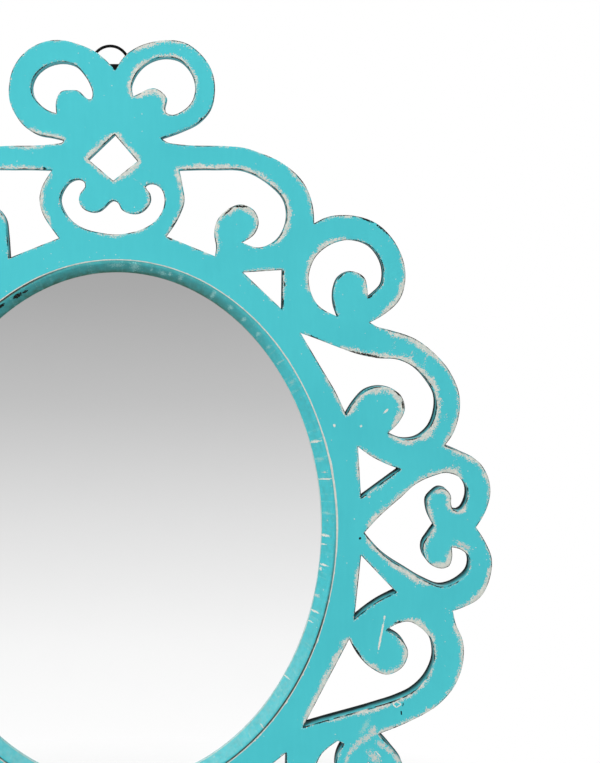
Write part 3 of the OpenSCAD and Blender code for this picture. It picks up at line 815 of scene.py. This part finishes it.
def outline_loops(source, level):
    """Closed loops round the solid's faces at one depth, each with the depth where the wall at it ends.

    The wood is on the left of the way they run.
    """
    bm = bmesh.new()
    bm.from_mesh(source.data)
    bmesh.ops.remove_doubles(bm, verts=bm.verts, dist=SAME_POINT)
    faces = [f for f in bm.faces if all(abs(v.co.y - level) < LEVEL for v in f.verts)]
    flat = set(faces)
    onward, depth = {}, {}
    for face in faces:
        clockwise = face.normal.y > 0
        for loop in face.loops:
            others = [f for f in loop.edge.link_faces if f not in flat]
            if others:
                a, b = loop.vert, loop.link_loop_next.vert
                onward[b if clockwise else a] = a if clockwise else b
                depth[a] = max((v.co.y for f in others for v in f.verts), key=lambda y: abs(y - level))
    loops = []
    while onward:
        start, here = next(iter(onward.items()))
        ring = [start]
        del onward[start]
        while here is not start:
            ring.append(here)
            here = onward.pop(here)
        loops.append((np.array([(v.co.x, v.co.z) for v in ring]), depth[ring[0]]))
    bm.free()
    return loops


def unit(vectors):
    return vectors / np.maximum(np.linalg.norm(vectors, axis=1), TINY)[:, None]


def smoothed(points, step):
    """Same loop with points every step or so, curved between the given ones except at sharp corners."""
    ahead = np.roll(points, -1, 0) - points
    length = np.linalg.norm(ahead, axis=1)
    way = ahead / length[:, None]
    before = np.roll(way, 1, 0)
    sharp = (way * before).sum(1) < math.cos(math.radians(CORNER))
    tangent = unit(before * length[:, None] + way * np.roll(length, 1)[:, None])
    result = []
    for i in range(len(points)):
        j = (i + 1) % len(points)
        leave = way[i] if sharp[i] else tangent[i]
        arrive = way[i] if sharp[j] else tangent[j]
        count = max(1, round(length[i] / step))
        for k in range(count):
            t = k / count
            result.append(
                points[i] * (2 * t + 1) * (1 - t) ** 2 + leave * length[i] * t * (1 - t) ** 2
                + points[j] * t * t * (3 - 2 * t) - arrive * length[i] * t * t * (1 - t)
            )
    return np.array(result)


class Outline:
    """All edges of the panel as one set of points, to find how far a place is from the nearest edge."""

    def __init__(self, loops):
        self.points = np.concatenate(loops)
        starts = np.cumsum([0] + [len(loop) for loop in loops])
        self.after, self.before = (
            np.concatenate([np.roll(np.arange(len(loop)), shift) + start for loop, start in zip(loops, starts)])
            for shift in (-1, 1)
        )
        self.tree = kdtree.KDTree(len(self.points))
        for i, p in enumerate(self.points):
            self.tree.insert((p[0], p[1], 0), i)
        self.tree.balance()

    def nearest(self, p):
        """Distance of a place from the nearest edge."""
        i = self.tree.find((p[0], p[1], 0))[1]
        return min(self.to_side(p, self.before[i], i), self.to_side(p, i, self.after[i]))

    def to_side(self, p, i, j):
        ax, az = self.points[i]
        bx, bz = self.points[j]
        dx, dz = bx - ax, bz - az
        t = ((p[0] - ax) * dx + (p[1] - az) * dz) / max(dx * dx + dz * dz, TINY)
        t = min(max(t, 0), 1)
        return math.hypot(p[0] - ax - t * dx, p[1] - az - t * dz)


def inside(points, loops):
    """Which points lie in the wood: an odd number of edges to their left."""
    a = np.concatenate(loops)
    b = np.concatenate([np.roll(loop, -1, 0) for loop in loops])
    rise = np.where(b[:, 1] == a[:, 1], 1, b[:, 1] - a[:, 1])
    result = np.zeros(len(points), bool)
    # in parts, to keep the tables small
    for first in range(0, len(points), 2000):
        p = points[first:first + 2000]
        crossed = (a[:, 1] > p[:, 1:]) != (b[:, 1] > p[:, 1:])
        at = a[:, 0] + (p[:, 1:] - a[:, 1]) * (b[:, 0] - a[:, 0]) / rise
        result[first:first + 2000] = ((crossed & (p[:, :1] < at)).sum(1) % 2) == 1
    return result


def inner_points(loops, outline, steps):
    """Points inwards from the edges at the given distances, and a loose net over the rest of the face."""
    found = []
    taken = set()
    for far in steps:
        gap = max(EDGE_STEP * mm * APART_ALONG, far * mm * APART_INWARDS)
        for loop in loops:
            side = unit(np.roll(loop, -1, 0) - np.roll(loop, 1, 0))
            inward = np.stack([-side[:, 1], side[:, 0]], 1)
            for p in (loop + inward * far * mm)[::1 if far < 2 else 2]:
                cell = (far, round(p[0] / gap), round(p[1] / gap))
                if cell not in taken and outline.nearest(p) > CLEAR * far * mm:
                    taken.add(cell)
                    found.append(p)
    low, high = outline.points.min(0), outline.points.max(0)
    rows = int((high[1] - low[1]) / (ROW_STEP * mm))
    cols = int((high[0] - low[0]) / (FACE_STEP * mm))
    net = [
        (low[0] + (c + 0.5 * (r % 2)) * FACE_STEP * mm, low[1] + r * ROW_STEP * mm)
        for r in range(rows + 1) for c in range(cols + 1)
    ]
    limit = (steps[-1] + NET_CLEAR * FACE_STEP) * mm
    found += [np.array(p) for p in net if outline.nearest(p) > limit]
    found = np.array(found)
    return found[inside(found, loops)]


def skin(loops, steps):
    """Triangles over the wood between the loops: places, triangles and distances from the edge.

    The points of the loops come first.
    """
    outline = Outline(loops)
    inner = inner_points(loops, outline, steps)
    border = len(outline.points)
    places = np.concatenate([outline.points, inner])
    sides = [(i, int(j)) for i, j in enumerate(outline.after)]
    verts, _, faces, origins, _, _ = delaunay_2d_cdt([Vector(p) for p in places], sides, [], 0, 1e-7)
    if len(verts) != len(places):
        raise ValueError("outline: two edges of the panel cross or touch")
    faces = np.array([[origins[i][0] for i in face] for face in faces])
    doubtful = (faces < border).all(1)
    keep = ~doubtful
    keep[doubtful] = inside(places[faces[doubtful]].mean(1), loops)
    distance = np.zeros(len(places))
    distance[border:] = [outline.nearest(p) / mm for p in inner]
    return places, faces[keep], distance


def rounded(distance, radius):
    """How far behind the face a rounded edge lies, at a distance from the edge."""
    inwards = np.clip(distance / radius, 0, 1)
    return radius * (1 - np.sqrt(np.clip(1 - (1 - inwards) ** 2, 0, 1)))


def worn_bands():
    """Worn stretches as (places along them, width in mm), also where the photograph doesn't show the panel."""
    for width, stretches in WORN.items():
        band = width * PHOTO_STEP / mm
        for stretch in stretches:
            stretch = np.array([from_photo(*p) for p in stretch])
            aside = stretch * (-1, 1) + (2 * MIDDLE, 0)
            yield stretch, band
            if stretch[:, 0].max() >= SEEN_ASIDE:
                yield aside, band * WORN_ASIDE
            if stretch[:, 1].min() > SEEN_BELOW:
                yield stretch * (1, -1), band * WORN_BELOW
                yield aside * (1, -1), band * WORN_BELOW


def band_width(places):
    """Width of the worn band that applies at each place, in millimetres."""
    width = np.zeros(len(places))
    for stretch, band in worn_bands():
        far = np.full(len(places), 1.0)
        for a, b in zip(stretch, stretch[1:]):
            t = np.clip(((places - a) @ (b - a)) / max(((b - a) ** 2).sum(), TINY), 0, 1)
            far = np.minimum(far, np.linalg.norm(places - a - t[:, None] * (b - a), axis=1))
        fade = np.clip((BAND_REACH[1] - far / mm) / (BAND_REACH[1] - BAND_REACH[0]), 0, 1)
        width = np.maximum(width, band * fade)
    return width


def hand_worked(places, low, high, scale):
    """A value between low and high that wanders over the face, as hand work leaves it, with its scale in metres."""
    wander = np.array([noise.noise((p[0] / scale, p[1] / scale, 3.7)) for p in places])
    return low + (high - low) * (0.5 + 0.5 * wander)


def oval_band(places):
    """Width of the cream line round the oval, in millimetres: uneven, and other at the foot, the sides and the top."""
    return np.interp(places[:, 1] / OVAL.y, *zip(*OVAL_BAND)) * hand_worked(places, 0.8, 1.2, 0.012)


class Sheet:
    """Points and faces of the panel, with the distance from the edge and the width and kind of the worn band there."""

    def __init__(self):
        self.co, self.polys = [], []
        self.marks = {"edge": [], "worn": [], "steady": []}

    def points(self, places, y, **marks):
        """Adds points at places of the face and depths y, and gives their numbers."""
        first, count = len(self.co), len(places)
        self.co += [(p[0], h, p[1]) for p, h in zip(places, y)]
        for name, values in self.marks.items():
            values += list(np.broadcast_to(marks.get(name, 0.0), count))
        return first + np.arange(count)

    def cover(self, numbers, triangles):
        self.polys += [tuple(numbers[corners[::-1]].tolist()) for corners in triangles]


def add_front(piece, loops):
    places, triangles, distance = skin(loops, FRONT_STEPS)
    out = np.hypot(places[:, 0] / (OVAL.x + distance * mm), places[:, 1] / (OVAL.y + distance * mm))
    steady = (np.abs(out - 1) < OVAL_STRAY) & (distance < OVAL_REACH)
    radius = hand_worked(places, (1 - ROUND_WANDER) * ROUND_FRONT, (1 + ROUND_WANDER) * ROUND_FRONT, 0.02)
    radius[steady] = ROUND_OVAL
    dip = hand_worked(places, 0.0, FACE_DIP, 0.035)
    y = PANEL_FRONT + (rounded(distance, radius) + dip * np.clip(distance / DIP_FROM, 0, 1)) * mm
    band = band_width(places)
    band[steady] = oval_band(places[steady])
    piece.cover(piece.points(places, y, edge=distance, worn=band, steady=steady), triangles)


def add_walls(piece, loops, depths):
    """Side walls, from the rounded front edge to the back or to the pocket of the glass."""
    first = 0
    for loop, depth in zip(loops, depths):
        top = slice(first, first + len(loop))
        first = top.stop
        y = np.array(piece.co[top])[:, 1]
        end = depth - (ROUND_BACK * mm if abs(depth) < LEVEL else 0)
        levels = [y + down * mm for down in WALL_STEPS if (y + down * mm).max() <= end - LAST_WALL_STEP * mm]
        last = list(range(top.start, top.stop))
        for level in levels + [np.full(len(loop), end)]:
            marks = {name: piece.marks[name][top] for name in ("worn", "steady")}
            ring = piece.points(loop, level, edge=(level - y) / mm, **marks).tolist()
            piece.polys += quads(last, ring)
            last = ring


def add_back(piece, cad, found, loops):
    """The flat back, with its pocket and screw holes left open."""
    def is_front(points):
        return any(
            len(points) == len(f) and np.allclose(sorted(points[:, 0]), sorted(f[:, 0]), atol=SAME_POINT)
            for f, depth in found
        )

    through = [loop for loop, (points, depth) in zip(loops, found) if abs(depth) < LEVEL]
    holes = [points for points, depth in outline_loops(cad, 0.0) if not is_front(points)]
    mirrored = [loop * (-1, 1) for loop in through + holes]
    places, triangles, distance = skin(list(oriented(mirrored)), BACK_STEPS)
    numbers = piece.points(places * (-1, 1), -rounded(distance, ROUND_BACK) * mm, edge=UNWORN)
    piece.cover(numbers, triangles)


def add_inner_walls(piece, source):
    """The faces of the solid that touch neither its front nor its back plane: pocket walls, steps and screw holes."""
    mesh = source.data
    numbers = {}
    for poly in mesh.polygons:
        places = [mesh.vertices[v].co for v in poly.vertices]
        nearest = min(co.y for co in places)
        if nearest < PANEL_FRONT + LEVEL or nearest > -LEVEL:
            continue
        corners = []
        for x, y, z in places:
            if y > -LEVEL:
                y = min(y, -ROUND_BACK * mm)
            key = (round(x, 7), round(y, 7), round(z, 7))
            if key not in numbers:
                numbers[key] = int(piece.points([(key[0], key[2])], [key[1]], edge=UNWORN)[0])
            corners.append(numbers[key])
        if len(set(corners)) > 2:
            piece.polys.append(tuple(corners))


def area(loop):
    after = np.roll(loop, -1, 0)
    return 0.5 * (loop[:, 0] * after[:, 1] - after[:, 0] * loop[:, 1]).sum()


def oriented(loops):
    """Loops that keep the wood on their left: the outermost runs one way and all others the other way."""
    biggest = max(range(len(loops)), key=lambda i: abs(area(loops[i])))
    for i, loop in enumerate(loops):
        yield loop if (area(loop) > 0) == (i == biggest) else loop[::-1]


def make_panel(material):
    cad = nodes["fretwork_panel"]
    found = outline_loops(cad, PANEL_FRONT)
    low, high = (PANEL_LOW.x, PANEL_LOW.z), (PANEL_HIGH.x, PANEL_HIGH.z)
    loops = [np.clip(smoothed(points, EDGE_STEP * mm), low, high) for points, depth in found]
    piece = Sheet()
    add_front(piece, loops)
    add_walls(piece, loops, [depth for points, depth in found])
    add_back(piece, cad, found, loops)
    add_inner_walls(piece, cad)
    obj = new_piece("carved_panel", piece.co, piece.polys, material, CRISP["panel"], **piece.marks)
    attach(obj, "mirror")
    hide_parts("fretwork_panel")


# The liner

# Steps round the oval, and the liner's width at its sides and at its top and foot, in millimetres
LINER_STEPS = 360
LINER_RUN = 11
LINER_RUN_ENDS = 9.5
# Where the slope begins from the outer edge, the height of the foot's edge on the glass, the steps down the slope and
# the hollow that a shaped cutter leaves in it, in millimetres
SLOPE_TOP = 2.2
SLOPE_FOOT = 1.6
SLOPE_STEPS = 7
SLOPE_HOLLOW = 0.35
# Paint that fills the joint between liner and panel reaches this far out from the liner, in millimetres
JOINT_FILL = 0.27


def liner_section():
    """The solid's own section with its corners eased: inset, depth, distance from an edge, and 1 on the unseen outside.

    All in millimetres.
    """
    front, glass = LINER_LOW.y / mm, LINER_HIGH.y / mm
    foot = glass - SLOPE_FOOT
    section = [
        (0, glass, 9, 1), (0, front + 1.6, 1.6, 1), (0, front + 0.8, 0.8, 0.5), (0, front + 0.3, 0.3, 0),
        (0.25, front + 0.05, 0.1, 0), (0.8, front, 0.0, 0), (1.6, front, 0.5, 0),
        (SLOPE_TOP - 0.1, front + 0.06, 0.2, 0), (SLOPE_TOP + 0.35, front + 0.36, 0.3, 0),
    ]
    for i in range(1, SLOPE_STEPS):
        t = i / SLOPE_STEPS
        depth = front + (foot - front) * t + SLOPE_HOLLOW * math.sin(math.pi * t)
        section.append((SLOPE_TOP + (LINER_RUN - SLOPE_TOP) * t, depth, min(t, 1 - t) * 8, 0))
    return section + [
        (LINER_RUN - 0.35, foot - 0.25, 0.4, 0), (LINER_RUN - 0.05, foot + 0.15, 0.0, 0),
        (LINER_RUN, foot + 0.5, 0.3, 0), (LINER_RUN, glass, 1.5, 0),
    ]


def share(value):
    """The value, kept within 0..1."""
    return min(1.0, max(0.0, value))


def crack_at(angle):
    """How open and dark the joint round the liner is: open over the lower half and at the upper left."""
    return max(share(-2.4 * math.sin(angle) + 0.1), share(1.8 - abs(math.degrees(angle) - 125) / 14))


def painted_shade_at(angle, across):
    """Painted shade on the liner's upper part, where its slope faces down, most beside the glass, and below zero a
    paler tone on its lower slope.

    across runs 0..1 from the outer edge.
    """
    top = share((math.sin(angle) - 0.55) / 0.35)
    low = share((-math.sin(angle) - 0.2) / 0.4)
    return 0.50 * top if across < 0.2 else (0.14 + 0.84 * across) * top - 0.2 * low


def make_liner(material):
    ends = LINER_RUN_ENDS / LINER_RUN
    verts, marks = [], {"edge": [], "worn": [], "outside": [], "crack": [], "painted_shade": []}
    for inset, depth, far, hidden in liner_section():
        for i in range(LINER_STEPS):
            a = 2 * math.pi * i / LINER_STEPS
            fill = (1 - crack_at(a)) * JOINT_FILL if inset == 0 and 0 < far < 0.5 else 0
            verts.append((
                (OVAL.x - (inset - fill) * mm) * math.cos(a), depth * mm,
                (OVAL.y - (inset * ends - fill) * mm) * math.sin(a),
            ))
            patch = noise.noise((math.cos(a) * 4, math.sin(a) * 4, 1.3))
            marks["edge"].append(far)
            marks["worn"].append(0.5 + 0.4 * patch if inset > 6 else 0.0)
            marks["outside"].append(hidden)
            marks["crack"].append(crack_at(a) * (1.0 if inset < 0.3 else 0.8 if inset < 1 else 0.0))
            # painted shade on the liner's upper part, and below zero a paler lower slope
            marks["painted_shade"].append(painted_shade_at(a, inset / LINER_RUN))
    rings = [range(first, first + LINER_STEPS) for first in range(0, len(verts), LINER_STEPS)]
    faces = [face for upper, lower in zip(rings, rings[1:] + rings[:1]) for face in quads(upper, lower)]
    obj = new_piece("bevelled_liner", verts, faces, material, CRISP["liner"], **marks)
    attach(obj, "mirror")
    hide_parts("oval_liner")


# Screws, hanger and pads

SCREW_TURNS = 32
# The cross recess: length and half width of its arms, its depth, and its floor as a share of its mouth, by the head's
# radius
CROSS_REACH = 0.62
CROSS_HALF = 0.13
CROSS_DEPTH = 0.42
CROSS_FLOOR = 0.7
PAD_TURNS = 48
# Section of a felt pad, from the wood over its rim to its middle: shares of its radius and of its thickness
PAD_SECTION = [(0.97, 0.0), (1, 0.15), (1, 0.75), (0.97, 0.90), (0.91, 0.985), (0.8, 1), (0.6, 1), (0.4, 1), (0.2, 1)]
# Its uneven felt: features per metre, and how far it draws in, as a share of its radius, and sinks
PAD_FUZZ = 900
PAD_PULL = 0.012
PAD_SINK = 0.10 * mm


def bodies(node):
    """Low and high corner of each separate body of a node."""
    bm = bmesh.new()
    bm.from_mesh(nodes[node].data)
    bmesh.ops.remove_doubles(bm, verts=bm.verts, dist=SAME_POINT)
    seen, result = set(), []
    for first in bm.verts:
        if first in seen:
            continue
        seen.add(first)
        stack, found = [first], []
        while stack:
            v = stack.pop()
            found.append(tuple(v.co))
            for w in [e.other_vert(v) for e in v.link_edges]:
                if w not in seen:
                    seen.add(w)
                    stack.append(w)
        result.append((np.min(found, 0), np.max(found, 0)))
    bm.free()
    return result


def add_screw(verts, faces, at, turn, head_r, crown, rim_h, cone, shank_r, length):
    """One cross-recess screw: its head's top faces +y at the given place and its shank runs to -y."""
    r, w = CROSS_REACH * head_r, CROSS_HALF * head_r
    cross = [
        (r, -w), (r, w), (w, w), (w, r), (-w, r), (-w, w), (-r, w), (-r, -w), (-w, -w), (-w, -r), (w, -r), (w, -w)
    ]
    flat = circle(head_r, SCREW_TURNS) + cross
    flat += circle(0.93 * head_r, SCREW_TURNS, 0.5) + circle(0.78 * head_r, SCREW_TURNS, 0.5)
    flat += [(0.45 * head_r * sx, 0.45 * head_r * sz) for sx in (-1, 1) for sz in (-1, 1)]
    sides = [(i, (i + 1) % SCREW_TURNS) for i in range(SCREW_TURNS)]
    sides += [(SCREW_TURNS + i, SCREW_TURNS + (i + 1) % len(cross)) for i in range(len(cross))]
    places, _, triangles, origins, _, _ = delaunay_2d_cdt([Vector(p) for p in flat], sides, [], 0, 1e-8)
    spin = Matrix.Rotation(turn, 2)

    def put(p, y):
        q = spin @ Vector(p)
        verts.append((at[0] + q.x, at[1] + y, at[2] + q.y))
        return len(verts) - 1

    def height(p):
        far = min(1, Vector(p).length / head_r)
        return rim_h + crown * (1 - far * far) - (0.05 * head_r if far > 0.985 and crown == 0 else 0)

    top = [put(p, height(p)) for p in places]
    for corners in triangles:
        centre = sum((places[i] for i in corners), Vector((0, 0))) / 3
        u, v = abs(centre.x), abs(centre.y)
        if max(u, v) >= r or min(u, v) >= w:
            faces.append([top[i] for i in corners])
    number = {o: top[i] for i, given in enumerate(origins) for o in given}
    mouth = [number[SCREW_TURNS + i] for i in range(len(cross))]
    floor = [put((x * CROSS_FLOOR, z * CROSS_FLOOR), rim_h + crown - CROSS_DEPTH * head_r) for x, z in cross]
    faces += quads(mouth, floor) + [floor]
    last = [number[i] for i in range(SCREW_TURNS)]
    levels = [(head_r, 0.0)] if rim_h > 0 else []
    for radius, y in levels + [(shank_r, -cone), (shank_r, -0.8 * length), (0.35 * shank_r, -length)]:
        ring = [put(p, y) for p in circle(radius, SCREW_TURNS)]
        faces += quads(last, ring)
        last = ring
    faces.append(last)


def make_screws(name, node, material, seat, **shape):
    verts, faces = [], []
    for count, (low, high) in enumerate(bodies(node)):
        at = ((low[0] + high[0]) / 2, seat, (low[2] + high[2]) / 2)
        add_screw(verts, faces, at, 0.7 * count + 0.3, length=seat - low[1], **shape)
    obj = new_piece(name, verts, faces, material, CRISP["screws"])
    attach(obj, "mirror")
    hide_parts(node)


def make_pads(material):
    """Two pressed felt discs: soft rounded rims and a slightly uneven face."""
    for count, (low, high) in enumerate(bodies("felt_pads")):
        cx, cz, radius, thick = (low[0] + high[0]) / 2, (low[2] + high[2]) / 2, (high[0] - low[0]) / 2, high[1]
        verts = []
        for across, up in PAD_SECTION:
            y = up * thick
            for x, z in circle(across * radius, PAD_TURNS):
                fuzz = 0.5 + 0.5 * noise.noise((x * PAD_FUZZ, y * PAD_FUZZ, z * PAD_FUZZ + 7 * count))
                pull = 1 - PAD_PULL * fuzz
                sink = PAD_SINK * fuzz if y > 0.9 * thick else 0
                verts.append((cx + x * pull, max(0.0, y - sink), cz + z * pull))
        rings = [range(first, first + PAD_TURNS) for first in range(0, len(verts), PAD_TURNS)]
        faces = [face for outer, inner in zip(rings, rings[1:]) for face in quads(outer, inner)]
        name = ("felt_pad_left", "felt_pad_right")[cx > 0]
        obj = new_piece(name, verts, faces + [rings[-1], rings[0]], material, CRISP["pads"])
        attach(obj, "mirror")
        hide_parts("felt_pads")


def dress(node, material, bevel=None):
    """Gives a carried-over solid its finish and, where asked, eased edges."""
    obj = nodes[node]
    obj.data.materials.clear()
    obj.data.materials.append(material)
    if bevel:
        obj.modifiers.new("weld", "WELD").merge_threshold = WELD
        eased = obj.modifiers.new("eased_edges", "BEVEL")
        eased.width = bevel
        eased.segments = 2
        eased.limit_method = "ANGLE"
        eased.angle_limit = math.radians(50)


def main():
    make_camera()
    make_room()
    make_lamp("key_lamp", (-0.75, -2.2, 1.9), 0.9, 62)
    make_lamp("back_lamp", (0.9, 2.2, 1.6), 1.2, 45)
    make_floor()
    edge_wear_group()
    specks_group()
    brush_group()
    stroke_group()
    grain_group()
    dust_group()
    zinc, black_steel = zinc_material(), black_steel_material()
    make_panel(panel_material())
    make_liner(liner_material())
    make_screws(
        "board_screws", "backing_screws", zinc,
        seat=0.0, head_r=2.6 * mm, crown=0.0, rim_h=0.0, cone=1.3 * mm, shank_r=1.3 * mm,
    )
    make_screws(
        "strap_screws", "hanger_screws", zinc,
        seat=1.6 * mm, head_r=3.0 * mm, crown=1.1 * mm, rim_h=0.7 * mm, cone=0.0, shank_r=1.5 * mm,
    )
    make_pads(felt_material())
    dress("mirror_glass", mirror_material())
    dress("backing_board", board_material())
    dress("hanger_strap", black_steel, 0.2 * mm)
    dress("hanger_ring", black_steel)


main()
